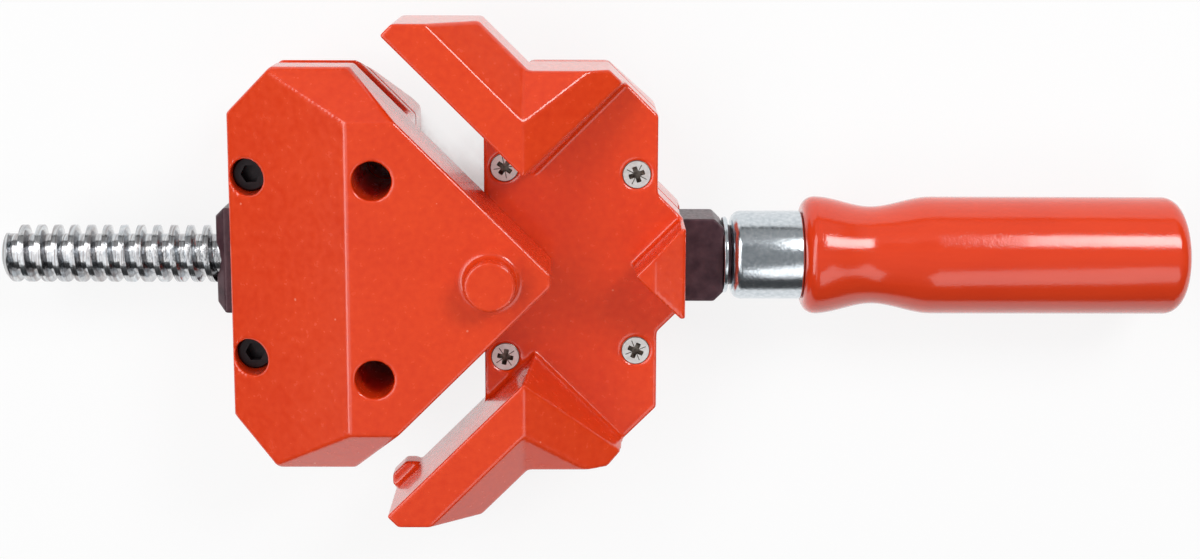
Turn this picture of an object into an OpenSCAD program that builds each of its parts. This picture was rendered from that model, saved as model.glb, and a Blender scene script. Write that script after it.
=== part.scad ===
// Corner clamp for mitred frames and T joints, lying flat on its back.
// Millimetres. X runs along the spindle with the handle at +X, Z is up from the bench.
// The origin lies on the bench, below the line where the two fixed clamping faces would meet.

/* [Overall] */
// Height of the jaw and arm tops above the bench
jaw_h = 45; // [42:0.5:55]
// Height of the work table above the bench
table_h = 25.3; // [24.6:0.1:27]
// Height of the spindle axis above the bench
axis_h = 15; // [14.8:0.1:16]
// Width of the channels that let a board pass for a T joint
channel_w = 30.8; // [29:0.1:33]
// Largest sideways swing of the spindle to either side, in degrees
swing_deg = 2.5; // [1:0.25:3]

/* [Fixed body] */
// Length of a fixed arm from the corner to its tip
arm_len = 78.8; // [74:0.1:90]
// Width of the flat top of a fixed arm
arm_top_w = 8.8; // [7:0.1:11]
// Full thickness of a fixed arm
arm_w = 17.1; // [15:0.1:18]
// Height of the bevel along the outside of an arm
arm_bevel_h = 9; // [6:0.1:12]
// Height of the underside of the arms above the bench
arm_under = 20; // [18:0.1:21]
// Half of the width over both arm tips
arm_reach = 58.4; // [56.5:0.1:61]
// Half of the body's width
body_half_w = 47.15; // [46:0.05:48]
// Distance of the table's free edge from the corner
table_front = 33.9; // [33:0.1:36]
// Distance of the body's rear end from the corner
body_rear = 13.3; // [13:0.1:15]
// Half of the width of the rear end
tail_half_w = 10.7; // [10:0.1:11]
// Distance of the rear shoulders from the corner
shoulder_x = 7.2; // [6:0.1:8]
// Cut across the rear corners, as the sum of X and Y on the cut
corner_sum = 42.6; // [41:0.1:44]
// Distance from the corner at which the arm root starts to fall away
ramp_start = 24; // [23.5:0.1:26]
// Fall of the arm root per millimetre of X
ramp_fall = 0.55; // [0.45:0.01:0.6]
// Distance of the corner post's edge from the corner
post_x = 1.5; // [1:0.1:2.5]
// Height of the corner post above the table
post_h = 14; // [10:0.1:17]
// Length of the flat top of the corner post
post_flat = 4.5; // [3:0.1:6]
// Fall of the corner post's top at its rear end
post_fall = 2.5; // [1:0.1:4]
// Width of the lug at an arm tip
lug_w = 6.3; // [5:0.1:7.5]
// Depth of the lug at an arm tip
lug_d = 7.7; // [6:0.1:9]
// Cut across the inner corner of the lug
lug_cut = 3.2; // [2:0.1:4]
// Distance of the lug from the corner, along the arm
lug_at = 75.4; // [70:0.1:77]
// Height of the upright edge of the rear casting before its bevel, below the joint
rear_edge_h = 4; // [2:0.1:6]

/* [Moving jaw] */
// Distance along X between the moving and the fixed clamping faces
jaw_gap = 16.3; // [14:0.1:24]
// Half of the flat on the nose of the jaw
nose_half_w = 1.5; // [1:0.1:3]
// Length of the jaw from the corner of its clamping faces to its back
jaw_len = 77; // [74:0.1:84]
// Half of the jaw's width
jaw_half_w = 47.6; // [46.5:0.1:48]
// Width of the bevels on the jaw's ends, and of its cut rear corners
jaw_bevel = 11.3; // [10:0.1:12]
// Length of the flat top of the jaw, from the corner of its faces
jaw_flat = 47.5; // [45:0.1:52]
// Height of the jaw's back edge above the bench
jaw_back_h = 28.75; // [27.5:0.05:31]
// Distance of the jaw's deep part from the corner of its faces
hub_start = 34.3; // [33:0.1:36]
// Height of the slot in the jaw's ends
slot_h = 6; // [5:0.1:6.5]
// Height of the floor of the slot above the bench
slot_floor = 18.5; // [17.5:0.1:18.8]
// Half of the distance between the inner ends of the slots
slot_y = 35.2; // [34:0.1:38]
// Amount by which the jaw's ends stand back at the joint of its castings
rear_draft = 1.4; // [0.5:0.1:2]
// Amount by which the jaw's ends stand back where the rear bevel starts
rear_inset = 3; // [2:0.1:4]
// Diameter of the bench holes in the jaw
hole_d = 8.9; // [8.4:0.1:9.5]
// Distance between the bench holes
hole_gap = 46; // [44:0.1:48]
// Distance of the bench holes from the corner of the jaw's faces
hole_x = 41.7; // [40:0.1:43]
// Diameter of the round boss on the jaw
boss_d = 11.5; // [9:0.1:13]
// Height of the round boss above the jaw
boss_h = 5.7; // [3:0.1:8]
// Distance of the boss from the corner of the jaw's faces
boss_x = 15.05; // [14:0.05:18]

/* [Screws] */
// Head diameter of the countersunk body screws
body_head_d = 7.6; // [7:0.1:8.4]
// Thread diameter of the body screws
body_screw_d = 4; // [3:0.5:5]
// Distance of the rear body screws behind the corner
body_screw_x1 = 2.15; // [1.5:0.05:2.5]
// Half of the distance between the rear body screws
body_screw_y1 = 21.35; // [19:0.05:23]
// Distance of the front body screws from the corner
body_screw_x2 = 29; // [28.5:0.1:29.5]
// Half of the distance between the front body screws
body_screw_y2 = 22.95; // [20:0.05:23.2]
// Head diameter of the jaw screws
jaw_head_d = 8.3; // [7.5:0.1:8.6]
// Height of the head of a jaw screw
jaw_head_h = 5; // [4:0.1:6]
// Thread diameter of the jaw screws
jaw_screw_d = 5; // [4:0.5:6]
// Height of the seat below the head of a jaw screw, above the bench
jaw_seat_h = 21; // [20:0.1:23]
// Distance of the jaw screws from the jaw's back
jaw_screw_in = 4.8; // [4.7:0.1:5.5]
// Distance between the jaw screws
jaw_screw_gap = 43; // [41:0.1:46]

/* [Spindle and nut] */
// Outside diameter of the spindle's thread
spindle_d = 14; // [12:0.5:14]
// Length of the spindle in front of the corner
spindle_out = 149.4; // [140:0.1:170]
// Diameter of the spindle's neck in its bearing
neck_d = 10; // [8:0.5:10]
// Width of the bearing block
block_w = 20.1; // [19:0.1:20.6]
// Height of the bearing block
block_h = 13.8; // [13:0.1:14.4]
// Length of the bearing block in front of its pivot
block_in = 14.5; // [13:0.1:16]
// Length of the bearing block behind its pivot
block_out = 15.2; // [14:0.1:17]
// Distance of the bearing pivot from the corner
pivot_x = 8; // [7.5:0.1:8.5]
// Diameter of the pivots on the bearing block
pivot_d = 8; // [6:0.1:8]
// Height of the pivots on the bearing block
pivot_h = 3; // [2:0.1:3]
// Width of the nut
nut_w = 25.6; // [24:0.1:26]
// Height of the nut
nut_h = 17; // [16:0.1:18]
// Length of the nut
nut_len = 22; // [20:0.1:24]
// Length of the nut that stands out behind the jaw
nut_out = 4.7; // [3:0.1:6]
// Distance of the nut's pivot from its outer face
nut_pivot_in = 12; // [11.5:0.1:13]
// Diameter of the pivots on the nut
nut_pivot_d = 10; // [8:0.1:11]
// Height of the pivots on the nut
nut_pivot_h = 4; // [3:0.1:4.5]
// Bevel on the free ends of the nut and the bearing block
block_bevel = 2.3; // [1:0.1:3]

/* [Handle] */
// Diameter of the thrust washer
washer_d = 18.4; // [16:0.1:20]
// Thickness of the thrust washer
washer_t = 1; // [0.8:0.1:1.5]
// Diameter of the retaining ring
ring_d = 14.5; // [13:0.1:16]
// Thickness of the retaining ring
ring_t = 0.8; // [0.6:0.1:1.2]
// Diameter of the ferrule
ferrule_d = 21.4; // [20:0.1:23]
// Length of the ferrule
ferrule_len = 17; // [14:0.1:20]
// Wall of the ferrule
ferrule_wall = 1.2; // [0.8:0.1:2]
// Largest diameter of the handle's grip
handle_d = 28.5; // [26:0.1:29]
// Diameter of the handle's waist
waist_d = 23.6; // [20:0.1:25]
// Length of the handle behind the ferrule
handle_len = 92; // [85:1:120]
// Rounding of the handle's end
handle_end_r = 4; // [2:0.1:6]
// Length of the spindle's tang inside the handle
tang_len = 55; // [40:1:70]

/* [Fits] */
// Running clearance on radius between turning pieces
run_fit = 0.05; // [0.03:0.01:0.09]
// Clearance between pieces that swing or slide past each other
free_gap = 0.3; // [0.2:0.05:0.5]
// Seat clearance on radius between pieces that are fastened together
seat_gap = 0.05; // [0.02:0.01:0.1]

/* [Hidden] */
$fn = 64;
// Colours
cast_red = "orangered";
black_steel = "dimgray";
zinc = "silver";
lacquer = "firebrick";
// Fixed numbers
root2 = sqrt(2);
// Length of anything that only has to reach past the clamp
far = 400;
// Overlap of a cut beyond the face it breaks through
over = 1;
// Fixed body
wall_sum = channel_w * root2;
arm_outer_sum = arm_w * root2;
wall_lean = (ramp_start * root2 - channel_w) / (jaw_h - table_h);
root_fall = arm_bevel_h / ((arm_w - arm_top_w) * root2);
arm_flat_y = ramp_start + arm_top_w * root2;
rear_foot_y = body_half_w - axis_h + rear_edge_h;
slot_top = slot_floor + slot_h;
lug_x = -lug_at / root2;
lug_h = slot_h - 2 * free_gap;
screw_spots = [
    [body_screw_x1, body_screw_y1],
    [body_screw_x1, -body_screw_y1],
    [-body_screw_x2, body_screw_y2],
    [-body_screw_x2, -body_screw_y2]
];
screw_foot = 5;
screw_tip_gap = 0.5;
screw_play = 0.15;
// Moving jaw
jaw_back = -jaw_gap - jaw_len;
jaw_crease = -jaw_gap - jaw_flat;
jaw_end_y = jaw_half_w - jaw_bevel;
hub_right = -jaw_gap - hub_start;
nose_under = table_h + free_gap;
boss_foot = 1.5;
jaw_screw_x = jaw_back + jaw_screw_in;
jaw_screw_y = jaw_screw_gap / 2;
// Spindle, its bearing and its nut
block_left = pivot_x - block_in;
block_right = pivot_x + block_out;
nut_left = jaw_back - nut_out;
nut_right = nut_left + nut_len;
nut_pivot_x = nut_left + nut_pivot_in;
thread_end_cut = 1.5;
groove_d = neck_d - 1.4;
// Row of pieces on the spindle's neck
washer_x = block_right + run_fit;
ring_x = washer_x + washer_t + run_fit;
ferrule_x = ring_x + ring_t + 2 * run_fit;
ferrule_r = 2.5;
handle_x = ferrule_x + ferrule_len;
spigot_x = ferrule_x + ferrule_wall + seat_gap;
spigot_d = ferrule_d - 2 * ferrule_wall - 2 * seat_gap;
handle_end = handle_x + seat_gap + handle_len;
tang_end = handle_x + tang_len;
bead_r = 3;
bead_len = 6.6;
waist_len = 23;
waist_depth = (handle_d - waist_d) / 2;
waist_r = (pow(waist_len / 2, 2) + pow(waist_depth, 2)) / (2 * waist_depth);
waist_x = handle_x + bead_len + waist_len / 2;

// Outline that is the same on both sides of the X axis
function both(half) = concat(half, [for (i = [len(half) - 1 : -1 : 0]) [half[i][0], -half[i][1]]]);
// Outline across the clamp that is the same on both sides of the middle
function across(half) = concat(half, [for (i = [len(half) - 1 : -1 : 0]) [-half[i][0], half[i][1]]]);
// Half width swept by a piece that swings, at a distance from its pivot
function swept(half_w, reach) = half_w + reach * sin(swing_deg) + free_gap;

module pair() {
    children();
    mirror([0, 1, 0]) children();
}

// Outline drawn in X and Z, carried right across the clamp
module side_view() {
    translate([0, far / 2, 0]) rotate([90, 0, 0]) linear_extrude(far) children();
}

// Outline drawn in Y and Z, carried along the clamp
module end_view() {
    translate([-far / 2, 0, 0]) rotate([90, 0, 90]) linear_extrude(far) children();
}

// Profile drawn in radius and X, turned about the spindle's axis
module turned() {
    translate([0, 0, axis_h]) rotate([0, 90, 0]) rotate_extrude() children();
}

// Rod along the spindle's axis
module rod(d, x0, x1) {
    translate([x0, 0, axis_h]) rotate([0, 90, 0]) cylinder(d = d, h = x1 - x0);
}

// Block centred on the spindle's axis
module bar(x0, x1, half_w, half_h) {
    translate([x0, -half_w, axis_h - half_h]) cube([x1 - x0, 2 * half_w, 2 * half_h]);
}

// Upright pin centred on the spindle's axis
module pin(x, d, half_h) {
    translate([x, 0, axis_h - half_h]) cylinder(d = d, h = 2 * half_h);
}

module body_plan() {
    polygon(both([
        [-table_front, table_front],
        [arm_outer_sum - body_half_w, body_half_w],
        [corner_sum - body_half_w, body_half_w],
        [shoulder_x, corner_sum - shoulder_x],
        [shoulder_x, tail_half_w + body_rear - shoulder_x],
        [body_rear, tail_half_w]
    ]));
}

// One fixed arm, cut square at its tip and flat at its widest point
module arm() {
    intersection() {
        rotate([0, 0, 135]) rotate([90, 0, 90]) linear_extrude(arm_len) polygon([
            [0, arm_under],
            [0, jaw_h],
            [-arm_top_w, jaw_h],
            [-arm_w, jaw_h - arm_bevel_h],
            [-arm_w, arm_under]
        ]);
        translate([-far, 0, 0]) cube([far - ramp_start, arm_reach, far]);
    }
}

// Thick root of an arm, which falls away towards the rear and the side and leans back from the channel
module arm_root() {
    intersection() {
        translate([0, 0, arm_under]) linear_extrude(jaw_h - arm_under) polygon([
            [-ramp_start, ramp_start],
            [-wall_sum / 2, wall_sum / 2],
            [(corner_sum - wall_sum) / 2, (corner_sum + wall_sum) / 2],
            [corner_sum - body_half_w, body_half_w],
            [arm_outer_sum - body_half_w, body_half_w],
            [-ramp_start, arm_outer_sum + ramp_start]
        ]);
        side_view() polygon([
            [-ramp_start - over, 0],
            [-ramp_start - over, jaw_h],
            [-ramp_start, jaw_h],
            [over, jaw_h - ramp_fall * (ramp_start + over)],
            [over, 0]
        ]);
        rotate([0, 0, 45]) end_view() polygon([
            [channel_w - wall_lean * table_h, 0],
            [ramp_start * root2, jaw_h],
            [far, jaw_h],
            [far, 0]
        ]);
        end_view() polygon([
            [0, 0],
            [0, jaw_h],
            [arm_flat_y, jaw_h],
            [arm_reach, jaw_h - root_fall * (arm_reach - arm_flat_y)],
            [arm_reach, 0]
        ]);
    }
}

module lug_plan() {
    translate([lug_x, -lug_x]) polygon([
        [-lug_w / 2, lug_cut - lug_d / 2],
        [lug_cut - lug_w / 2, -lug_d / 2],
        [lug_w / 2, -lug_d / 2],
        [lug_w / 2, lug_d / 2],
        [-lug_w / 2, lug_d / 2]
    ]);
}

// Lug at an arm's tip, which runs in the slot at the end of the jaw
module lug() {
    translate([0, 0, slot_floor + free_gap]) linear_extrude(lug_h) intersection() {
        lug_plan();
        rotate(135) translate([0, -arm_w]) square([arm_len, arm_w + lug_d]);
    }
}

// Wedge-shaped post behind the corner
module post() {
    intersection() {
        linear_extrude(far) polygon([
            [post_x, 0],
            [post_x + tail_half_w, tail_half_w],
            [body_rear, tail_half_w],
            [body_rear, -tail_half_w],
            [post_x + tail_half_w, -tail_half_w]
        ]);
        side_view() polygon([
            [0, table_h - over],
            [0, table_h + post_h],
            [post_x + post_flat, table_h + post_h],
            [body_rear, table_h + post_h - post_fall],
            [body_rear, table_h - over]
        ]);
    }
}

// Room for the bearing block, its pivots and the swinging spindle
module body_rooms() {
    bar(
        block_left - block_w / 2 * sin(swing_deg) - free_gap,
        body_rear + over,
        swept(block_w / 2, block_in),
        block_h / 2 + free_gap
    );
    bar(
        -table_front - over,
        block_left,
        swept(spindle_d / 2, pivot_x + table_front),
        spindle_d / 2 + free_gap
    );
    pin(pivot_x, pivot_d + 2 * run_fit, block_h / 2 + pivot_h + free_gap);
}

// Countersunk screw that stands on the given point with its head at the table
module countersunk(spot, gap, tip) {
    head_r = body_head_d / 2 + gap;
    rod_r = body_screw_d / 2 + gap;
    translate([spot[0], spot[1], 0]) rotate_extrude() polygon([
        [0, tip],
        [rod_r, tip],
        [rod_r, table_h - head_r + rod_r],
        [head_r, table_h],
        [0, table_h]
    ]);
}

module front_body() {
    color(cast_red) difference() {
        union() {
            translate([0, 0, axis_h]) linear_extrude(table_h - axis_h) body_plan();
            pair() {
                arm();
                arm_root();
                lug();
            }
            post();
        }
        body_rooms();
        for (spot = screw_spots) {
            countersunk(spot, seat_gap, screw_foot);
        }
    }
}

module rear_body() {
    color(cast_red) difference() {
        intersection() {
            linear_extrude(axis_h) body_plan();
            end_view() polygon(across([
                [rear_foot_y, 0],
                [body_half_w, axis_h - rear_edge_h],
                [body_half_w, axis_h]
            ]));
        }
        body_rooms();
        for (spot = screw_spots) {
            countersunk(spot, seat_gap, screw_foot - screw_tip_gap);
        }
    }
}

module body_screw(spot) {
    color(zinc) countersunk(spot, 0, screw_foot);
}

module body_screw_1() {
    body_screw(screw_spots[0]);
}

module body_screw_2() {
    body_screw(screw_spots[1]);
}

module body_screw_3() {
    body_screw(screw_spots[2]);
}

module body_screw_4() {
    body_screw(screw_spots[3]);
}

module bearing_block() {
    color(black_steel) difference() {
        union() {
            translate([0, 0, axis_h - block_h / 2]) linear_extrude(block_h) polygon(both([
                [block_left, block_w / 2],
                [block_right - block_bevel, block_w / 2],
                [block_right, block_w / 2 - block_bevel]
            ]));
            pin(pivot_x, pivot_d, block_h / 2 + pivot_h);
        }
        rod(neck_d + 2 * run_fit, block_left - over, block_right + over);
    }
}

module spindle() {
    color(zinc) turned() polygon([
        [0, -spindle_out],
        [spindle_d / 2 - thread_end_cut, -spindle_out],
        [spindle_d / 2, thread_end_cut - spindle_out],
        [spindle_d / 2, block_left - run_fit],
        [neck_d / 2, block_left - run_fit],
        [neck_d / 2, ring_x - run_fit],
        [groove_d / 2, ring_x - run_fit],
        [groove_d / 2, ring_x + ring_t + run_fit],
        [neck_d / 2, ring_x + ring_t + run_fit],
        [neck_d / 2, tang_end],
        [0, tang_end]
    ]);
}

module thrust_washer() {
    color(zinc) difference() {
        rod(washer_d, washer_x, washer_x + washer_t);
        rod(neck_d + 2 * seat_gap, washer_x - over, washer_x + washer_t + over);
    }
}

module retaining_ring() {
    color(black_steel) difference() {
        rod(ring_d, ring_x, ring_x + ring_t);
        rod(groove_d + 2 * seat_gap, ring_x - over, ring_x + ring_t + over);
    }
}

module ferrule() {
    color(zinc) turned() difference() {
        union() {
            translate([0, ferrule_x + ferrule_r]) square([ferrule_d / 2, ferrule_len - ferrule_r]);
            translate([0, ferrule_x]) square([ferrule_d / 2 - ferrule_r, ferrule_r + over]);
            translate([ferrule_d / 2 - ferrule_r, ferrule_x + ferrule_r]) circle(r = ferrule_r);
        }
        translate([0, ferrule_x - over]) square([neck_d / 2 + seat_gap, ferrule_len]);
        translate([0, ferrule_x + ferrule_wall]) square([ferrule_d / 2 - ferrule_wall, ferrule_len]);
    }
}

module handle() {
    color(lacquer) turned() difference() {
        union() {
            translate([0, spigot_x]) square([spigot_d / 2, ferrule_len]);
            translate([0, handle_x + seat_gap]) square([handle_d / 2 - bead_r, bead_r + over]);
            translate([handle_d / 2 - bead_r, handle_x + seat_gap + bead_r]) circle(r = bead_r);
            translate([0, handle_x + seat_gap + bead_r])
                square([handle_d / 2, handle_len - bead_r - handle_end_r]);
            translate([handle_d / 2 - handle_end_r, handle_end - handle_end_r]) circle(r = handle_end_r);
            translate([0, handle_end - handle_end_r - over])
                square([handle_d / 2 - handle_end_r, handle_end_r + over]);
        }
        translate([waist_d / 2 + waist_r, waist_x]) circle(r = waist_r);
        translate([0, spigot_x - over]) square([neck_d / 2 + seat_gap, tang_end - spigot_x + 2 * over]);
    }
}

module spindle_nut() {
    half_w = nut_w / 2;
    half_h = nut_h / 2;
    color(black_steel) difference() {
        union() {
            intersection() {
                linear_extrude(far) polygon(both([
                    [nut_left, half_w - block_bevel],
                    [nut_left + block_bevel, half_w],
                    [nut_right, half_w]
                ]));
                translate([0, 0, axis_h]) side_view() polygon(both([
                    [nut_left, half_h - block_bevel],
                    [nut_left + block_bevel, half_h],
                    [nut_right, half_h]
                ]));
            }
            pin(nut_pivot_x, nut_pivot_d, half_h + nut_pivot_h);
        }
        rod(spindle_d + 2 * run_fit, nut_left - over, nut_right + over);
    }
}

// Room for the nut, its pivots and the spindle in the jaw
module jaw_rooms() {
    bar(
        jaw_back - over,
        nut_right + nut_w / 2 * sin(swing_deg) + free_gap,
        swept(nut_w / 2, nut_pivot_in),
        nut_h / 2 + free_gap
    );
    bar(
        nut_right,
        hub_right + over,
        swept(spindle_d / 2, hub_right - nut_pivot_x),
        spindle_d / 2 + free_gap
    );
    pin(nut_pivot_x, nut_pivot_d + 2 * run_fit, nut_h / 2 + nut_pivot_h + free_gap);
}

// Bench holes through both castings of the jaw
module bench_holes() {
    pair() translate([-jaw_gap - hole_x, hole_gap / 2, -over]) cylinder(d = hole_d, h = far);
}

// Round boss with a hollow fillet at its foot
module boss() {
    translate([-jaw_gap - boss_x, 0, jaw_h - over]) rotate_extrude() {
        square([boss_d / 2, boss_h + over]);
        difference() {
            square([boss_d / 2 + boss_foot, over + boss_foot]);
            translate([boss_d / 2 + boss_foot, over + boss_foot]) circle(r = boss_foot);
        }
    }
}

// Socket screw that stands on the given side, with play around it
module socket_screw(side, gap, tip, head_top) {
    translate([jaw_screw_x, side * jaw_screw_y, 0]) {
        translate([0, 0, tip]) cylinder(d = jaw_screw_d + 2 * gap, h = jaw_seat_h - tip + over);
        translate([0, 0, jaw_seat_h]) cylinder(d = jaw_head_d + 2 * gap, h = head_top - jaw_seat_h);
    }
}

module front_jaw() {
    color(cast_red) difference() {
        union() {
            intersection() {
                linear_extrude(jaw_h) polygon(both([
                    [jaw_back, jaw_end_y],
                    [jaw_back + jaw_bevel, jaw_half_w],
                    [-jaw_gap - jaw_half_w, jaw_half_w],
                    [-jaw_gap - nose_half_w, nose_half_w]
                ]));
                side_view() polygon([
                    [jaw_back, axis_h],
                    [jaw_back, jaw_back_h],
                    [jaw_crease, jaw_h],
                    [-jaw_gap, jaw_h],
                    [-jaw_gap, nose_under],
                    [hub_right, nose_under],
                    [hub_right, axis_h]
                ]);
                end_view() polygon(across([
                    [jaw_half_w - rear_draft, axis_h],
                    [jaw_half_w, slot_floor],
                    [slot_y, slot_floor],
                    [slot_y, slot_top],
                    [jaw_half_w, slot_top],
                    [jaw_half_w, jaw_h - jaw_bevel],
                    [jaw_end_y, jaw_h]
                ]));
            }
            boss();
        }
        jaw_rooms();
        bench_holes();
        for (side = [-1, 1]) {
            socket_screw(side, screw_play, 0, far);
        }
    }
}

module rear_jaw() {
    color(cast_red) difference() {
        intersection() {
            linear_extrude(axis_h) polygon(both([
                [jaw_back, jaw_end_y],
                [jaw_back + jaw_bevel, jaw_half_w],
                [-jaw_gap - jaw_half_w, jaw_half_w],
                [hub_right, hub_start]
            ]));
            end_view() polygon(across([
                [jaw_end_y, 0],
                [jaw_half_w - rear_inset, axis_h - rear_edge_h],
                [jaw_half_w - rear_draft, axis_h]
            ]));
        }
        jaw_rooms();
        bench_holes();
        for (side = [-1, 1]) {
            socket_screw(side, seat_gap, screw_foot - screw_tip_gap, far);
        }
    }
}

module jaw_screw(side) {
    color(black_steel) socket_screw(side, 0, screw_foot, jaw_seat_h + jaw_head_h);
}

module jaw_screw_1() {
    jaw_screw(1);
}

module jaw_screw_2() {
    jaw_screw(-1);
}

front_body();
rear_body();
body_screw_1();
body_screw_2();
body_screw_3();
body_screw_4();
bearing_block();
spindle();
thrust_washer();
retaining_ring();
ferrule();
handle();
spindle_nut();
front_jaw();
rear_jaw();
jaw_screw_1();
jaw_screw_2();
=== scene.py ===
import math
import bmesh
import bpy
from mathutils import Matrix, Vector


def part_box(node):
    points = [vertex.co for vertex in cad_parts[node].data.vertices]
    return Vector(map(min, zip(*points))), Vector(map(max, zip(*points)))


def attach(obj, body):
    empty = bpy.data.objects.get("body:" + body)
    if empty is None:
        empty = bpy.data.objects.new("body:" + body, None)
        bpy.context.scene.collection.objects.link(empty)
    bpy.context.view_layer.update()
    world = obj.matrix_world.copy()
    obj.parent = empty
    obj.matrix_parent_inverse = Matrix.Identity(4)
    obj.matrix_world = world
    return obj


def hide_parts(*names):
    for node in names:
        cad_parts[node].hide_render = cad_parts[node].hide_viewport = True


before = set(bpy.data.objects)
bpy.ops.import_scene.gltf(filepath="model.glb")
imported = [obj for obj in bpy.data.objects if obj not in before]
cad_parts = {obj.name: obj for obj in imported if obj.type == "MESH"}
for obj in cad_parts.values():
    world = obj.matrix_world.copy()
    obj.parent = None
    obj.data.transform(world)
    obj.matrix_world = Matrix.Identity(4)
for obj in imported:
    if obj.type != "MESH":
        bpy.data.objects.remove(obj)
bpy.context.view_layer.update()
mm = 0.001
inset = 0.02  # millimetres that a finished surface stays inside its CAD solid
noiseRange = (0.3, 0.7)  # where nearly all values of a noise lie
axisHeight = sum(corner.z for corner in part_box("spindle")) / 2
scene = bpy.context.scene
print("stage: frame loaded")

# short helpers for node trees
def addNode(tree, kind, inputs=None, **props):
    node = tree.nodes.new(kind)
    for key, value in props.items():
        setattr(node, key, value)
    for key, value in (inputs or {}).items():
        socket = node.inputs[key]
        if isinstance(value, bpy.types.NodeSocket):
            tree.links.new(value, socket)
        else:
            socket.default_value = value
    return node


def calc(tree, operation, *values):
    return addNode(tree, "ShaderNodeMath", dict(enumerate(values)), operation=operation).outputs[0]


def shaderGroup(name, inputs, outputs):
    tree = bpy.data.node_groups.new(name, "ShaderNodeTree")
    for label, kind, value in inputs:
        tree.interface.new_socket(label, in_out="INPUT", socket_type=kind).default_value = value
    for label, kind in outputs:
        tree.interface.new_socket(label, in_out="OUTPUT", socket_type=kind)
    return tree, addNode(tree, "NodeGroupInput"), addNode(tree, "NodeGroupOutput")


# fine relief shared by every finish: normal for the shader, mask for roughness and tint
def makeRelief():
    tree, given, result = shaderGroup(
        "fineRelief",
        [
            ("Scale", "NodeSocketFloat", 900.0),
            ("Height", "NodeSocketFloat", 0.00004),
            ("Patch", "NodeSocketFloat", 60.0),
        ],
        [
            ("Normal", "NodeSocketVector"),
            ("Mask", "NodeSocketFloat"),
            ("Patches", "NodeSocketFloat"),
        ],
    )
    place = addNode(tree, "ShaderNodeTexCoord").outputs["Object"]
    g = given.outputs
    grit = {"Vector": place, "Scale": g["Scale"], "Detail": 3.0}
    clouds = {"Vector": place, "Scale": g["Patch"], "Detail": 4.0}
    fine = addNode(tree, "ShaderNodeTexNoise", grit)
    wide = addNode(tree, "ShaderNodeTexNoise", clouds)
    raised = {"Height": fine.outputs["Fac"], "Distance": g["Height"], "Strength": 1.0}
    bump = addNode(tree, "ShaderNodeBump", raised)
    tree.links.new(bump.outputs["Normal"], result.inputs["Normal"])
    tree.links.new(fine.outputs["Fac"], result.inputs["Mask"])
    tree.links.new(wide.outputs["Fac"], result.inputs["Patches"])
    return tree


relief = makeRelief()


# lines drawn along the work, for turned wood and cut steel
def makeGrain():
    tree, given, result = shaderGroup(
        "drawnGrain",
        [("Stretch", "NodeSocketVector", (1, 1, 1))],
        [("Lines", "NodeSocketFloat")],
    )
    place = addNode(tree, "ShaderNodeTexCoord").outputs["Object"]
    pulled = {"Vector": place, "Scale": given.outputs["Stretch"]}
    drawn = addNode(tree, "ShaderNodeMapping", pulled).outputs[0]
    noise = {"Vector": drawn, "Scale": 1.0, "Detail": 6.0, "Distortion": 0.6}
    lines = addNode(tree, "ShaderNodeTexNoise", noise)
    tree.links.new(lines.outputs["Fac"], result.inputs["Lines"])
    return tree


drawnGrain = makeGrain()


# spread of a value around its middle by a mask
def spread(tree, mask, low, high):
    least, most = noiseRange
    limits = {"Value": mask, 1: least, 2: most, 3: low, 4: high}
    return addNode(tree, "ShaderNodeMapRange", limits).outputs[0]


def mixColour(tree, mask, first, second):
    both = {0: mask, 6: first, 7: second}
    return addNode(tree, "ShaderNodeMix", both, data_type="RGBA").outputs[2]


def finish(spec):
    material = bpy.data.materials.new(spec["name"])
    material.use_nodes = True
    tree = material.node_tree
    shader = tree.nodes["Principled BSDF"]
    for key, value in spec["sockets"].items():
        shader.inputs[key].default_value = value
    detail = addNode(tree, "ShaderNodeGroup", node_tree=relief)
    for key, value in spec["relief"].items():
        detail.inputs[key].default_value = value
    tree.links.new(detail.outputs["Normal"], shader.inputs["Normal"])
    rough = spread(tree, detail.outputs["Mask"], *spec["rough"])
    tree.links.new(rough, shader.inputs["Roughness"])
    shade = spread(tree, detail.outputs["Patches"], 0.0, 1.0)
    if "dapple" in spec:
        fine = spread(tree, detail.outputs["Mask"], 0.0, 1.0)
        shade = addNode(tree, "ShaderNodeMix", {0: spec["dapple"], 2: shade, 3: fine}).outputs[0]
    tint = mixColour(tree, shade, *spec["tints"])
    if "specks" in spec:
        specks = spec["specks"]
        place = addNode(tree, "ShaderNodeTexCoord").outputs["Object"]
        spaced = {"Vector": place, "Scale": specks["scale"]}
        cells = addNode(tree, "ShaderNodeTexVoronoi", spaced)
        dots = calc(tree, "LESS_THAN", cells.outputs["Distance"], specks["size"])
        chance = addNode(tree, "ShaderNodeSeparateColor", {0: cells.outputs["Color"]}).outputs[0]
        few = calc(tree, "GREATER_THAN", chance, specks["rare"])
        tint = mixColour(tree, calc(tree, "MULTIPLY", dots, few), tint, specks["colour"])
    if "grain" in spec:
        grain = addNode(tree, "ShaderNodeGroup", node_tree=drawnGrain)
        grain.inputs["Stretch"].default_value = spec["grain"]["stretch"]
        dark = spread(tree, grain.outputs["Lines"], 0.0, spec["grain"]["share"])
        tint = mixColour(tree, dark, tint, spec["grain"]["colour"])
    tree.links.new(tint, shader.inputs["Base Color"])
    return material


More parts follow.
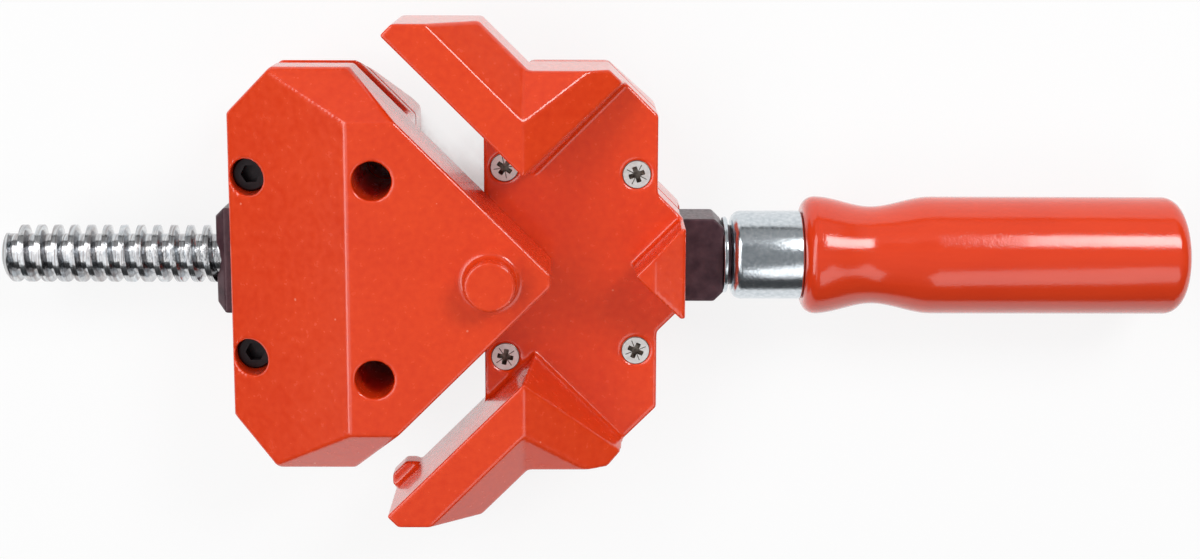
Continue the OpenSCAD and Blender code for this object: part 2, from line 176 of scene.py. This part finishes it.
castPaint = finish({
    "name": "castPaint",
    "sockets": {"Specular IOR Level": 0.5, "Coat Weight": 0.5, "Coat Roughness": 0.06},
    "relief": {"Scale": 600.0, "Height": 0.00004, "Patch": 45.0},
    "rough": (0.2, 0.28),
    "tints": ((0.72, 0.040, 0.005, 1), (0.82, 0.060, 0.007, 1)),
    "dapple": 0.6,
    "specks": {"scale": 300.0, "size": 0.09, "rare": 0.95, "colour": (0.85, 0.2, 0.12, 1)},
})
platedSteel = finish({
    "name": "platedSteel",
    "sockets": {"Metallic": 1.0},
    "relief": {"Scale": 1500.0, "Height": 0.00004, "Patch": 500.0},
    "rough": (0.1, 0.22),
    "tints": ((0.56, 0.61, 0.65, 1), (0.80, 0.82, 0.83, 1)),
    "grain": {"stretch": (2600.0, 90.0, 90.0), "share": 0.75, "colour": (0.24, 0.19, 0.18, 1)},
})
brightZinc = finish({
    "name": "brightZinc",
    "sockets": {"Metallic": 1.0},
    "relief": {"Scale": 2200.0, "Height": 0.00003, "Patch": 900.0},
    "rough": (0.12, 0.26),
    "tints": ((0.56, 0.61, 0.65, 1), (0.70, 0.74, 0.77, 1)),
})
screwZinc = finish({
    "name": "screwZinc",
    "sockets": {"Metallic": 0.8},
    "relief": {"Scale": 1800.0, "Height": 0.00003, "Patch": 700.0},
    "rough": (0.34, 0.48),
    "tints": ((0.82, 0.79, 0.76, 1), (0.96, 0.96, 0.94, 1)),
})
# dark zinc for the faces in the screws' cross recess and at the head's outer rim: painted shade
# where these hollows fall into shadow
paintedShadeZinc = finish({
    "name": "paintedShadeZinc",
    "sockets": {"Metallic": 0.8},
    "relief": {"Scale": 1800.0, "Height": 0.00003, "Patch": 900.0},
    "rough": (0.28, 0.4),
    "tints": ((0.07, 0.05, 0.04, 1), (0.34, 0.29, 0.25, 1)),
})
blackOxide = finish({
    "name": "blackOxide",
    "sockets": {"Metallic": 0.2, "Specular IOR Level": 0.4},
    "relief": {"Scale": 1100.0, "Height": 0.00005, "Patch": 320.0},
    "rough": (0.28, 0.42),
    "tints": ((0.045, 0.016, 0.024, 1), (0.1, 0.045, 0.056, 1)),
})
darkScrew = finish({
    "name": "darkScrew",
    "sockets": {"Metallic": 0.4, "Specular IOR Level": 0.4},
    "relief": {"Scale": 1600.0, "Height": 0.00003, "Patch": 200.0},
    "rough": (0.3, 0.45),
    "tints": ((0.012, 0.009, 0.011, 1), (0.024, 0.018, 0.021, 1)),
})
lacquer = finish({
    "name": "lacquer",
    "sockets": {"Specular IOR Level": 0.5, "Coat Weight": 0.3, "Coat Roughness": 0.04},
    "relief": {"Scale": 2000.0, "Height": 0.00004, "Patch": 30.0},
    "rough": (0.07, 0.12),
    "tints": ((0.70, 0.045, 0.009, 1), (0.75, 0.054, 0.011, 1)),
    "grain": {"stretch": (22.0, 620.0, 620.0), "share": 0.2, "colour": (0.6, 0.03, 0.009, 1)},
})
print("stage: materials made")


latheLook = {"merge": 0.0001, "sharpAngle": 40}


# mesh: lathe along the spindle, profile of (x, radius) in millimetres
def lathe(name, profile, segments=96):
    bm = bmesh.new()
    rings = []
    for x, radius in profile:
        if radius <= 0:
            rings.append([bm.verts.new((x * mm, 0, axisHeight))])
            continue
        ring = []
        for i in range(segments):
            a = math.tau * i / segments
            y, z = radius * mm * math.cos(a), radius * mm * math.sin(a)
            ring.append(bm.verts.new((x * mm, y, axisHeight + z)))
        rings.append(ring)
    for first, second in zip(rings, rings[1:]):
        for i in range(segments):
            j = i + 1
            near = [first[k % len(first)] for k in (i, j)]
            far = [second[k % len(second)] for k in (j, i)]
            corners = [near[0], far[1], far[0], near[1]]
            bm.faces.new(list(dict.fromkeys(corners)))  # a pole gives a triangle
    bmesh.ops.remove_doubles(bm, verts=bm.verts, dist=latheLook["merge"] * mm)
    bmesh.ops.recalc_face_normals(bm, faces=bm.faces)
    mesh = bpy.data.meshes.new(name)
    bm.to_mesh(mesh)
    bm.free()
    mesh.shade_smooth()
    mesh.set_sharp_from_angle(angle=math.radians(latheLook["sharpAngle"]))
    obj = bpy.data.objects.new(name, mesh)
    scene.collection.objects.link(obj)
    return obj


def arc(cx, cr, radius, start, end, steps):
    turns = [math.radians(start + (end - start) * i / steps) for i in range(steps + 1)]
    return [(cx + radius * math.cos(a), cr + radius * math.sin(a)) for a in turns]


def settle(obj, body, nodes, material=None):
    if material:
        obj.data.materials.clear()
        obj.data.materials.append(material)
    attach(obj, body)
    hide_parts(*nodes)
    return obj


# bake an object's modifiers into a plain mesh
def bake(obj):
    bpy.context.view_layer.update()
    ready = obj.evaluated_get(bpy.context.evaluated_depsgraph_get())
    made = bpy.data.meshes.new_from_object(ready)
    obj.modifiers.clear()
    old = obj.data
    obj.data = made
    bpy.data.meshes.remove(old)
    return obj


skinLook = {"weld": 0.003, "smoothing": 0.5, "flatAngle": 0.25}


# casting or block copied from its CAD node, with the soft edges of a cast or coated piece
def softCopy(spec):
    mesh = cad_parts[spec["node"]].data.copy()
    for label in ("custom_normal", "sharp_edge"):
        if label in mesh.attributes:
            mesh.attributes.remove(mesh.attributes[label])
    obj = bpy.data.objects.new(spec["name"], mesh)
    scene.collection.objects.link(obj)
    obj.modifiers.new("join", "WELD").merge_threshold = skinLook["weld"] * mm
    skin = obj.modifiers.new("skin", "REMESH")
    skin.mode = "VOXEL"
    skin.voxel_size = spec["grid"] * mm
    skin.use_smooth_shade = True
    soften = obj.modifiers.new("soften", "SMOOTH")
    soften.factor = skinLook["smoothing"]
    soften.iterations = spec["soften"]
    coat = obj.modifiers.new("coat", "DISPLACE")
    coat.mid_level = 0.0
    coat.strength = -inset * mm
    thin = obj.modifiers.new("thin", "DECIMATE")
    thin.decimate_type = "DISSOLVE"
    thin.angle_limit = math.radians(skinLook["flatAngle"])
    obj.modifiers.new("shade", "WEIGHTED_NORMAL")
    bake(obj)
    return settle(obj, spec["body"], [spec["node"]], spec["material"])


castings = [
    {"name": "frontBody", "node": "front_body", "body": "body", "grid": 0.44, "soften": 7},
    {"name": "rearBody", "node": "rear_body", "body": "body", "grid": 0.7, "soften": 3},
    {"name": "frontJaw", "node": "front_jaw", "body": "jaw", "grid": 0.44, "soften": 7},
    {"name": "rearJaw", "node": "rear_jaw", "body": "jaw", "grid": 0.7, "soften": 3},
]
for spec in castings:
    softCopy({**spec, "material": castPaint, "slot": "casting"})
blocks = [
    {
        "name": "bearingBlock", "node": "bearing_block", "body": "bearing",
        "grid": 0.35, "soften": 3,
    },
    {"name": "spindleNut", "node": "spindle_nut", "body": "nut", "grid": 0.35, "soften": 3},
]
for spec in blocks:
    softCopy({**spec, "material": blackOxide, "slot": "black_steel"})
print("stage: castings and blocks softened")


# washer and ring on the spindle's neck, with rounded rims
def makeRing(spec):
    low, high = (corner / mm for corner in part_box(spec["node"]))
    outer, rim = (high.y - low.y) / 2, spec["rim"]
    profile = [(low.x, spec["hole"])]
    profile += arc(low.x + rim, outer - rim, rim, 180, 90, 4)
    profile += arc(high.x - rim, outer - rim, rim, 90, 0, 4)
    profile += [(high.x, spec["hole"]), (low.x, spec["hole"])]
    obj = lathe(spec["name"], profile)
    return settle(obj, "spindle", [spec["node"]], spec["material"])


rings = [
    {
        "name": "thrustWasher", "node": "thrust_washer", "hole": 5.05, "rim": 0.25,
        "material": brightZinc, "slot": "plated_steel",
    },
    {
        "name": "retainingRing", "node": "retaining_ring", "hole": 4.35, "rim": 0.15,
        "material": blackOxide, "slot": "black_steel",
    },
]
for spec in rings:
    makeRing(spec)
print("stage: washer and ring made")


# geometry nodes: one object per tree, inputs set by socket identifier
def growGroup(name, inputs):
    tree = bpy.data.node_groups.new(name, "GeometryNodeTree")
    sockets = {}
    for label, kind in [("Geometry", "NodeSocketGeometry"), *inputs]:
        sockets[label] = tree.interface.new_socket(label, in_out="INPUT", socket_type=kind)
    tree.interface.new_socket("Geometry", in_out="OUTPUT", socket_type="NodeSocketGeometry")
    names = {label: socket.identifier for label, socket in sockets.items()}
    return tree, addNode(tree, "NodeGroupInput"), names


def closeGroup(tree, geometry, material, marks=()):
    real = addNode(tree, "GeometryNodeRealizeInstances", {"Geometry": geometry}).outputs[0]
    coat = {"Geometry": real, "Material": material}
    dressed = addNode(tree, "GeometryNodeSetMaterial", coat).outputs[0]
    for label, other in marks:
        kind = "GeometryNodeInputNamedAttribute"
        named = addNode(tree, kind, {"Name": label}, data_type="BOOLEAN")
        change = {"Geometry": dressed, "Selection": named.outputs[0], "Material": other}
        dressed = addNode(tree, "GeometryNodeSetMaterial", change).outputs[0]
    tree.links.new(dressed, addNode(tree, "NodeGroupOutput").inputs["Geometry"])


def grow(name, points, tree, names, values):
    mesh = bpy.data.meshes.new(name)
    mesh.from_pydata(points, [], [])
    obj = bpy.data.objects.new(name, mesh)
    scene.collection.objects.link(obj)
    modifier = obj.modifiers.new("grow", "NODES")
    modifier.node_group = tree
    for key, value in values.items():
        modifier[names[key]] = value
    return bake(obj)


# trapezoidal thread: a ridge that winds round a plain core
spindleLow, spindleHigh = (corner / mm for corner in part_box("spindle"))
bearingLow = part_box("bearing_block")[0] / mm
thread = {
    "name": "spindleThread", "startX": spindleLow.x, "endX": bearingLow.x - 0.05,
    "radius": (spindleHigh.y - spindleLow.y) / 2, "core": 4.8, "pitch": 4.0,
    "base": 2.75, "flank": 3.6, "cut": 1.6, "blend": 0.6, "sink": 0.05, "runOuts": 8.0,
    "rowsPerTurn": 48, "rowsAcross": 9, "coreSides": 64, "sharpAngle": 50,
}


def makeThread(spec):
    sizes = ["Start", "Length", "Radius", "Core", "Pitch", "Base", "Flank", "Cut"]
    inputs = [(label, "NodeSocketFloat") for label in sizes] + [("Rows", "NodeSocketInt")]
    tree, given, names = growGroup("threadRidge", inputs)
    g = given.outputs
    across = spec["rowsAcross"]
    cells = {"Size X": 1.0, "Size Y": 1.0, "Vertices X": g["Rows"], "Vertices Y": across}
    grid = addNode(tree, "GeometryNodeMeshGrid", cells).outputs["Mesh"]
    point = addNode(tree, "GeometryNodeInputPosition").outputs[0]
    place = addNode(tree, "ShaderNodeSeparateXYZ", {0: point}).outputs
    along = calc(tree, "ADD", place[0], 0.5)
    over = calc(tree, "MULTIPLY", place[1], g["Base"])
    turns = calc(tree, "DIVIDE", g["Length"], g["Pitch"])
    wound = calc(tree, "MULTIPLY", along, turns)
    angle = calc(tree, "MULTIPLY", wound, math.tau)
    run = calc(tree, "MULTIPLY", along, g["Length"])
    x = calc(tree, "ADD", calc(tree, "ADD", run, over), g["Start"])
    stop = calc(tree, "ADD", g["Start"], g["Length"])
    x = calc(tree, "MINIMUM", calc(tree, "MAXIMUM", x, g["Start"]), stop)
    half = calc(tree, "MULTIPLY", g["Base"], 0.5)
    edge = calc(tree, "SUBTRACT", half, calc(tree, "ABSOLUTE", over))
    flank = calc(tree, "MULTIPLY", edge, g["Flank"])
    crest = calc(tree, "SUBTRACT", g["Radius"], g["Core"])
    rise = calc(tree, "SMOOTH_MIN", flank, crest, spec["blend"] * mm)
    # the ridge runs out to nothing at both ends
    nearEnd = calc(tree, "MINIMUM", wound, calc(tree, "SUBTRACT", turns, wound))
    runOut = calc(tree, "MINIMUM", calc(tree, "MULTIPLY", nearEnd, spec["runOuts"]), 1.0)
    rise = calc(tree, "MULTIPLY", rise, runOut)
    radius = calc(tree, "SUBTRACT", calc(tree, "ADD", g["Core"], rise), spec["sink"] * mm)
    # cone turned on the free end
    tip = calc(tree, "SUBTRACT", g["Radius"], g["Cut"])
    cone = calc(tree, "ADD", tip, calc(tree, "SUBTRACT", x, g["Start"]))
    radius = calc(tree, "MINIMUM", radius, cone)
    sideways = calc(tree, "MULTIPLY", radius, calc(tree, "COSINE", angle))
    upward = calc(tree, "MULTIPLY", radius, calc(tree, "SINE", angle))
    parts = {0: x, 1: sideways, 2: calc(tree, "ADD", upward, axisHeight)}
    spot = addNode(tree, "ShaderNodeCombineXYZ", parts).outputs[0]
    wrapped = {"Geometry": grid, "Position": spot}
    ridge = addNode(tree, "GeometryNodeSetPosition", wrapped).outputs[0]
    sides = spec["coreSides"]
    plain = {"Vertices": sides, "Side Segments": 1, "Radius": g["Core"], "Depth": g["Length"]}
    rod = addNode(tree, "GeometryNodeMeshCylinder", plain).outputs["Mesh"]
    middleX = calc(tree, "ADD", g["Start"], calc(tree, "MULTIPLY", g["Length"], 0.5))
    middle = addNode(tree, "ShaderNodeCombineXYZ", {0: middleX, 2: axisHeight}).outputs[0]
    laid = {"Geometry": rod, "Translation": middle, "Rotation": (0, math.pi / 2, 0)}
    rod = addNode(tree, "GeometryNodeTransform", laid).outputs[0]
    both = addNode(tree, "GeometryNodeJoinGeometry")
    tree.links.new(ridge, both.inputs[0])
    tree.links.new(rod, both.inputs[0])
    closeGroup(tree, both.outputs[0], platedSteel)
    length = spec["endX"] - spec["startX"]
    obj = grow(spec["name"], [(0, 0, 0)], tree, names, {
        "Start": spec["startX"] * mm, "Length": length * mm, "Radius": spec["radius"] * mm,
        "Core": spec["core"] * mm, "Pitch": spec["pitch"] * mm, "Base": spec["base"] * mm,
        "Flank": spec["flank"], "Cut": spec["cut"] * mm,
        "Rows": int(length / spec["pitch"] * spec["rowsPerTurn"]),
    })
    obj.data.shade_smooth()
    obj.data.set_sharp_from_angle(angle=math.radians(spec["sharpAngle"]))
    return settle(obj, "spindle", ["spindle"])


makeThread(thread)
ringLow, ringHigh = (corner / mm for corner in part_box("retaining_ring"))
neck = {
    "name": "spindleNeck", "start": thread["endX"], "end": spindleHigh.x, "radius": 5.0,
    "groove": 4.3, "grooveAt": (ringLow.x - 0.05, ringHigh.x + 0.05), "sides": 48,
}


def makeNeck(spec):
    radius, groove = spec["radius"], spec["groove"]
    left, right = spec["grooveAt"]
    profile = [(spec["start"], 0), (spec["start"], radius), (left, radius), (left, groove)]
    profile += [(right, groove), (right, radius), (spec["end"], radius), (spec["end"], 0)]
    obj = lathe(spec["name"], profile, spec["sides"])
    return settle(obj, "spindle", ["spindle"], platedSteel)


makeNeck(neck)
print("stage: spindle made")

# ferrule and handle
ferruleLow, ferruleHigh = (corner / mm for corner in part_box("ferrule"))
ferrule = {
    "name": "ferruleShell", "start": ferruleLow.x, "end": ferruleHigh.x,
    "radius": (ferruleHigh.y - ferruleLow.y) / 2 - inset, "wall": 1.2, "shoulder": 2.5,
    "inner": 9.5, "hole": 5.05, "lip": 0.35,
}


def makeFerrule(spec):
    inside, shoulder, lip = spec["start"] + spec["wall"], spec["shoulder"], spec["lip"]
    profile = [(inside, spec["hole"]), (spec["start"], spec["hole"])]
    profile += arc(spec["start"] + shoulder, spec["radius"] - shoulder, shoulder, 180, 90, 8)
    profile += arc(spec["end"] - lip, spec["radius"] - lip, lip, 90, 0, 4)
    profile += [(spec["end"], spec["inner"]), (inside, spec["inner"]), (inside, spec["hole"])]
    obj = lathe(spec["name"], profile)
    return settle(obj, "spindle", ["ferrule"], brightZinc)


makeFerrule(ferrule)

handleLow, handleHigh = (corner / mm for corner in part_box("handle"))
gripRadius = (handleHigh.y - handleLow.y) / 2 - inset
handle = {
    "name": "handleGrip", "start": ferruleHigh.x + 0.15, "end": handleHigh.x - 0.05,
    "bead": gripRadius, "beadAt": ferruleHigh.x + 3.4, "nose": 3.2,
    "waist": 11.8, "waistAt": ferruleHigh.x + 17.2, "steps": 36,
    "grip": gripRadius - 0.03, "gripAt": ferruleHigh.x + 31.6, "straight": (20, 40), "round": 4.2,
    "spigot": 9.4, "spigotAt": handleLow.x + 0.05, "bore": 5.1, "boreEnd": spindleHigh.x + 0.1,
    "sides": 128,
}


# smooth step from 0 to 1
def ease(t):
    return 3 * t * t - 2 * t * t * t


def handleRadius(x, spec):
    if x < spec["waistAt"]:
        t = (x - spec["beadAt"]) / (spec["waistAt"] - spec["beadAt"])
        return spec["bead"] + (spec["waist"] - spec["bead"]) * ease(t)
    t = (x - spec["waistAt"]) / (spec["gripAt"] - spec["waistAt"])
    return spec["waist"] + (spec["grip"] - spec["waist"]) * ease(t)


def makeHandle(spec):
    bore, nose, rounding = spec["bore"], spec["nose"], spec["round"]
    profile = [(spec["boreEnd"], 0), (spec["boreEnd"], bore), (spec["spigotAt"], bore)]
    profile += [(spec["spigotAt"], spec["spigot"]), (spec["start"], spec["spigot"])]
    profile += arc(spec["start"] + nose, spec["bead"] - nose, nose, 180, 90, 8)
    reach, steps = spec["gripAt"] - spec["beadAt"], spec["steps"]
    places = [spec["beadAt"] + reach * i / steps for i in range(steps + 1)]
    profile += [(x, handleRadius(x, spec)) for x in places]
    profile += [(spec["gripAt"] + further, spec["grip"]) for further in spec["straight"]]
    profile += arc(spec["end"] - rounding, spec["grip"] - rounding, rounding, 90, 0, 8)
    profile += [(spec["end"], 0)]
    obj = lathe(spec["name"], profile, spec["sides"])
    return settle(obj, "spindle", ["handle"], lacquer)


makeHandle(handle)
print("stage: handle made")

# countersunk screws with a cross recess
bodyScrews = {
    "name": "bodyScrews",
    "nodes": ["body_screw_1", "body_screw_2", "body_screw_3", "body_screw_4"],
    "sunk": 0.25, "play": 0.3, "shank": 1.95, "rim": 0.25, "bevel": 0.3,
    "crossWidth": 1.15, "crossLength": 3.9, "crossDepth": 1.5, "crossTaper": (0.33, 0.67),
    "tickWidth": 0.22, "tickLength": 5.2, "tickDepth": 0.12,
    "shadeBelow": 0.03, "turn": 1.5, "seed": 3,
}


# places of nodes that stand upright, at the given height
def spotsOf(nodes, height):
    boxes = [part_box(node) for node in nodes]
    return [((low.x + high.x) / 2, (low.y + high.y) / 2, height) for low, high in boxes]


def box(tree, size, offset, turn=0.0):
    cube = addNode(tree, "GeometryNodeMeshCube", {"Size": size}).outputs["Mesh"]
    moved = {"Geometry": cube, "Translation": offset, "Rotation": (0, 0, turn)}
    return addNode(tree, "GeometryNodeTransform", moved).outputs[0]


def upright(tree, bottom, low, high, height, sides=48):
    sizes = {"Vertices": sides, "Radius Top": high, "Radius Bottom": low, "Depth": height}
    shape = addNode(tree, "GeometryNodeMeshCone", sizes).outputs["Mesh"]
    moved = {"Geometry": shape, "Translation": (0, 0, bottom)}
    return addNode(tree, "GeometryNodeTransform", moved).outputs[0]


def solid(tree, operation, first, others):
    made = addNode(tree, "GeometryNodeMeshBoolean", operation=operation, solver="EXACT")
    if operation == "DIFFERENCE":
        tree.links.new(first, made.inputs[0])
    else:
        tree.links.new(first, made.inputs[1])
    for other in others:
        tree.links.new(other, made.inputs[1])
    return made.outputs[0]


# one copy on each point, each turned a little differently
def scatter(tree, given, shape, most):
    limits = {0: (0, 0, 0), 1: (0, 0, most), "Seed": given.outputs["Seed"]}
    turn = addNode(tree, "FunctionNodeRandomValue", limits, data_type="FLOAT_VECTOR").outputs[0]
    copies = {"Points": given.outputs["Geometry"], "Instance": shape, "Rotation": turn}
    return addNode(tree, "GeometryNodeInstanceOnPoints", copies).outputs[0]


def makeBodyScrews(spec):
    tree, given, names = growGroup("crossScrew", [("Seed", "NodeSocketInt")])
    low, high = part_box(spec["nodes"][0])
    head = (high.x - low.x) / 2 - spec["play"] * mm
    shank, rim = spec["shank"] * mm, spec["rim"] * mm
    top, tip = high.z - spec["sunk"] * mm, low.z
    depth = head - shank
    lower = upright(tree, -rim - depth, shank, head, depth)
    bevel = spec["bevel"] * mm
    upper = upright(tree, -rim, head, head - bevel, rim)
    rod = upright(tree, tip - top, shank, shank, top - tip - rim - depth, 24)
    width, length = spec["crossWidth"] * mm, spec["crossLength"] * mm
    deep, (point, mouth) = spec["crossDepth"] * mm, spec["crossTaper"]
    middle = (0, 0, 0)
    sizes = [(length, width, 4 * deep), (width, length, 4 * deep)]
    wings = [box(tree, size, middle) for size in sizes]
    taper = upright(tree, -deep, point * length, mouth * length, 2 * deep)
    cross = solid(tree, "INTERSECT", solid(tree, "UNION", wings[0], wings[1:]), [taper])
    tickSize = (spec["tickLength"] * mm, spec["tickWidth"] * mm, 2 * spec["tickDepth"] * mm)
    turns = (math.pi / 4, -math.pi / 4)
    cutters = [cross] + [box(tree, tickSize, middle, turn) for turn in turns]
    cut = [solid(tree, "DIFFERENCE", part, cutters) for part in (lower, upper)]
    joined = addNode(tree, "GeometryNodeJoinGeometry")
    for part in cut + [rod]:
        tree.links.new(part, joined.inputs[0])
    place = addNode(tree, "GeometryNodeInputPosition").outputs[0]
    level = {0: place, 1: (1, 1, 0)}
    flat = addNode(tree, "ShaderNodeVectorMath", level, operation="MULTIPLY").outputs[0]
    reach = addNode(tree, "ShaderNodeVectorMath", {0: flat}, operation="LENGTH").outputs["Value"]
    height = addNode(tree, "ShaderNodeSeparateXYZ", {0: place}).outputs[2]
    # faces inside the cross recess and at the head's outer rim, below the top, take the dark zinc:
    # painted shade in the recess and in the gap at the seat
    near = calc(tree, "LESS_THAN", reach, length / 2)
    ends = calc(tree, "ADD", near, calc(tree, "GREATER_THAN", reach, head - bevel))
    below = calc(tree, "LESS_THAN", height, -spec["shadeBelow"] * mm)
    inside = calc(tree, "MULTIPLY", ends, below)
    mark = {"Geometry": joined.outputs[0], "Name": "paintedShadeFaces", "Value": inside}
    sort = {"data_type": "BOOLEAN", "domain": "FACE"}
    marking = addNode(tree, "GeometryNodeStoreNamedAttribute", mark, **sort)
    copies = scatter(tree, given, marking.outputs[0], spec["turn"])
    closeGroup(tree, copies, screwZinc, [("paintedShadeFaces", paintedShadeZinc)])
    obj = grow(spec["name"], spotsOf(spec["nodes"], top), tree, names, {"Seed": spec["seed"]})
    return settle(obj, "body", spec["nodes"])


makeBodyScrews(bodyScrews)

# socket screws at the back of the jaw
jawScrews = {
    "name": "jawScrews", "nodes": ["jaw_screw_1", "jaw_screw_2"],
    "headHeight": 5.0, "shank": 2.45, "edge": 0.4,
    "socket": 2.3, "socketDepth": 2.6, "socketFlare": 1.02, "turn": 1.0, "seed": 5,
}


def makeJawScrews(spec):
    tree, given, names = growGroup("socketScrew", [("Seed", "NodeSocketInt")])
    low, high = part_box(spec["nodes"][0])
    head, edge, tall = (high.x - low.x) / 2, spec["edge"] * mm, spec["headHeight"] * mm
    seat, shank = high.z - tall, spec["shank"] * mm
    lower = upright(tree, 0.0, head, head, tall - edge)
    upper = upright(tree, tall - edge, head, head - edge, edge)
    hexagon, deep = spec["socket"] * mm, spec["socketDepth"] * mm
    mouth = hexagon * spec["socketFlare"]
    socket = upright(tree, tall - deep, hexagon, mouth, deep * 2, 6)
    rod = upright(tree, low.z - seat, shank, shank, seat - low.z, 24)
    cut = [solid(tree, "DIFFERENCE", part, [socket]) for part in (lower, upper)]
    joined = addNode(tree, "GeometryNodeJoinGeometry")
    for part in cut + [rod]:
        tree.links.new(part, joined.inputs[0])
    closeGroup(tree, scatter(tree, given, joined.outputs[0], spec["turn"]), darkScrew)
    obj = grow(spec["name"], spotsOf(spec["nodes"], seat), tree, names, {"Seed": spec["seed"]})
    return settle(obj, "jaw", spec["nodes"])


makeJawScrews(jawScrews)
print("stage: screws made")

# pale floor: white for the camera and in mirrors, with the shadow showing through
floorLook = {
    "size": 6, "below": 0.5, "colour": (0.86, 0.86, 0.86, 1), "rough": 0.9,
    "white": 0.85,
    "shelter": 50.0, "shelterRange": (0.05, 0.11), "shelterRays": 32,  # no glow deep inside holes
}


def makeFloor(spec):
    material = bpy.data.materials.new("paleFloor")
    material.use_nodes = True
    tree = material.node_tree
    shader = tree.nodes["Principled BSDF"]
    shader.inputs["Base Color"].default_value = spec["colour"]
    shader.inputs["Roughness"].default_value = spec["rough"]
    path = addNode(tree, "ShaderNodeLightPath")
    glow = addNode(tree, "ShaderNodeEmission", {"Color": (1, 1, 1, 1), "Strength": 1.0})
    shelter = {"Distance": spec["shelter"] * mm}
    rays = spec["shelterRays"]
    # ambient occlusion fades the floor's glow near and under the clamp: painted shade on the floor
    # and in its reflections, with the floor's lamp-lit shading showing through there instead
    openSky = addNode(tree, "ShaderNodeAmbientOcclusion", shelter, samples=rays).outputs["AO"]
    low, high = spec["shelterRange"]
    unoccluded = addNode(tree, "ShaderNodeMapRange", {"Value": openSky, 1: low, 2: high}).outputs[0]
    direct = calc(tree, "MULTIPLY", path.outputs["Is Camera Ray"], spec["white"])
    either = calc(tree, "MAXIMUM", direct, path.outputs["Is Glossy Ray"])
    seen = calc(tree, "MULTIPLY", either, unoccluded)
    looks = {0: seen, 1: shader.outputs[0], 2: glow.outputs[0]}
    mix = addNode(tree, "ShaderNodeMixShader", looks)
    tree.links.new(mix.outputs[0], tree.nodes["Material Output"].inputs["Surface"])
    bpy.ops.mesh.primitive_plane_add(size=spec["size"], location=(0, 0, -spec["below"] * mm))
    floor = bpy.context.object
    floor.name = "floor"
    floor.data.materials.append(material)


makeFloor(floorLook)

# even sky, which mirrors see brighter overhead
skyLook = {
    "colour": (0.94, 0.97, 1, 1), "strength": 0.17,
    "climb": (0.5, 0.95), "mirrored": (-0.11, 0.13),
}


def makeSky(spec):
    world = bpy.data.worlds.new("studio")
    scene.world = world
    world.use_nodes = True
    tree = world.node_tree
    sky = tree.nodes["Background"]
    sky.inputs["Color"].default_value = spec["colour"]
    mirrored = addNode(tree, "ShaderNodeLightPath").outputs["Is Glossy Ray"]
    towards = addNode(tree, "ShaderNodeTexCoord").outputs["Generated"]
    climb = addNode(tree, "ShaderNodeSeparateXYZ", {0: towards}).outputs[2]
    (start, end), (low, high) = spec["climb"], spec["mirrored"]
    steps = {"Value": climb, 1: start, 2: end, 3: low, 4: high}
    overhead = addNode(tree, "ShaderNodeMapRange", steps).outputs[0]
    strength = calc(tree, "MULTIPLY_ADD", mirrored, overhead, spec["strength"])
    tree.links.new(strength, sky.inputs["Strength"])


makeSky(skyLook)


# soft lamps, in metres and watts
clampMiddle = (0.0, 0.0, 0.02)
lamps = [
    {
        "name": "keyLight", "place": (0.5, 0.48, 0.6), "aim": (0.5, 0.0, 0.02),
        "size": (0.44, 0.28), "power": 4.4,
    },
    {
        "name": "frontPanel", "place": (0.3, -0.4, 0.66), "aim": clampMiddle,
        "size": (0.55, 0.36), "power": 1.0,
    },
    {
        "name": "leftPanel", "place": (-0.62, 0.17, 0.67), "aim": clampMiddle,
        "size": (1.3, 0.35), "power": 5.2,
    },
    {
        "name": "topPanel", "place": (-0.36, 0.0, 0.7), "aim": (-0.36, 0.0, 0.0),
        "size": (0.2, 1.1), "power": 0.8,
    },
    {
        "name": "backPanel", "place": (0.05, 0.95, 0.55), "aim": clampMiddle,
        "size": (1.4, 0.9), "power": 1.3,
    },
]


def makeLamp(spec):
    data = bpy.data.lights.new(spec["name"], "AREA")
    data.shape = "RECTANGLE"
    data.size, data.size_y = spec["size"]
    data.energy = spec["power"]
    obj = bpy.data.objects.new(spec["name"], data)
    scene.collection.objects.link(obj)
    obj.location = spec["place"]
    towards = Vector(spec["aim"]) - Vector(spec["place"])
    obj.rotation_euler = towards.to_track_quat("-Z", "Y").to_euler()
    return obj


for spec in lamps:
    makeLamp(spec)

viewpoint = {
    "place": (-10.5, 92.0, 439.8), "turn": (-9.15, -0.51, 0.23),
    "sensor": 36.0, "lens": 53.62, "shift": -0.101, "nearest": 10.0,
}
camera = bpy.data.objects.new("camera", bpy.data.cameras.new("camera"))
scene.collection.objects.link(camera)
camera.location = [distance * mm for distance in viewpoint["place"]]
camera.rotation_euler = [math.radians(angle) for angle in viewpoint["turn"]]
camera.data.sensor_width = viewpoint["sensor"]
camera.data.lens = viewpoint["lens"]
camera.data.shift_y = viewpoint["shift"]
camera.data.clip_start = viewpoint["nearest"] * mm
scene.camera = camera
scene.view_settings.view_transform = "Standard"
print("stage: floor, light and camera set")
